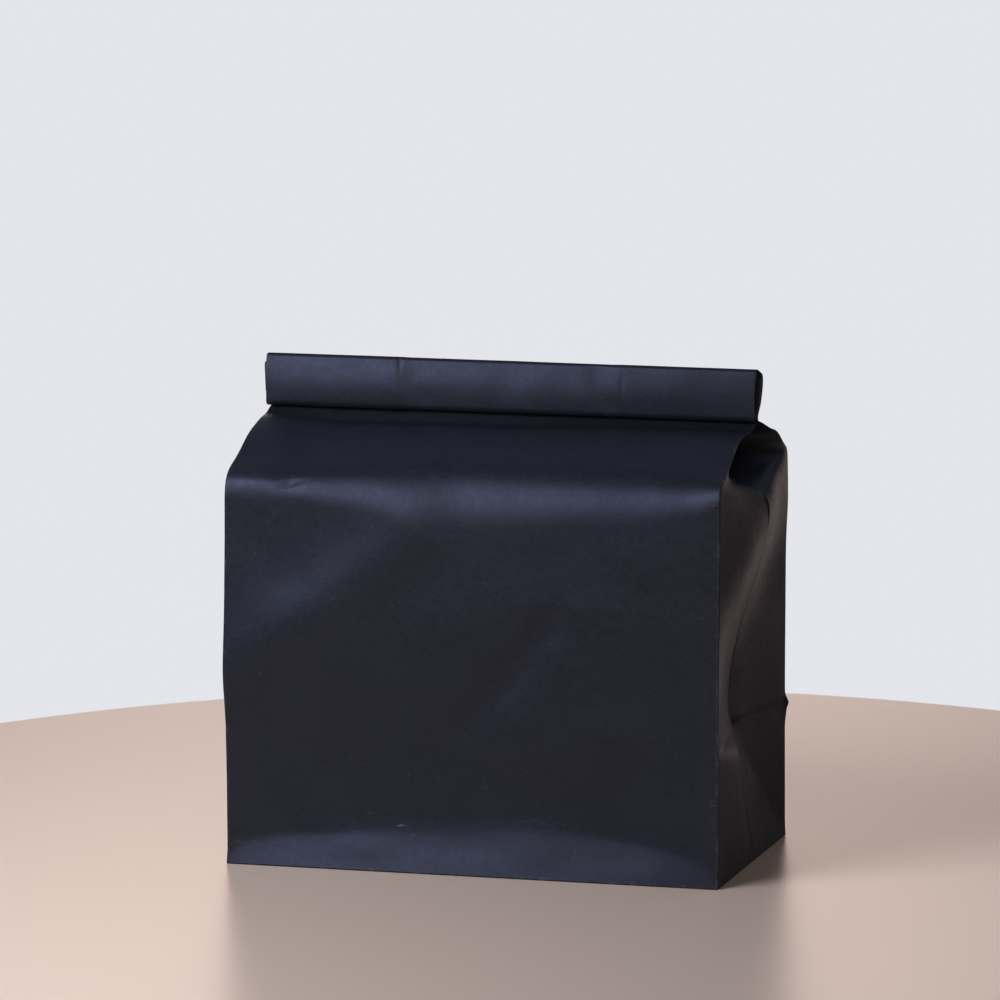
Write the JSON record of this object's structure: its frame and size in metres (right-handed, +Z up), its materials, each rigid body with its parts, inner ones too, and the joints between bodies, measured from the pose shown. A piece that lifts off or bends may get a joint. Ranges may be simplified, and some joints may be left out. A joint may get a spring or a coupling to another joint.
{
  "type": "block-bottom paper bag",
  "caption": "Block-bottom kraft paper bag in near-black navy, standing shut, with side gussets and its mouth rolled down to the front.",
  "frame": {"origin": "middle of the flat base, on the surface that the bag stands on", "axes": "+Z up, +X along the width to the right seen from the front, the front face towards -Y"},
  "size_m": [0.2346, 0.1258, 0.2153],
  "materials": {
    "kraft_paper": "matte, with a faint sheen and fine horizontal ribs"
  },
  "bodies": {
    "root": {"bag": "kraft_paper"}
  },
  "joints": []
}
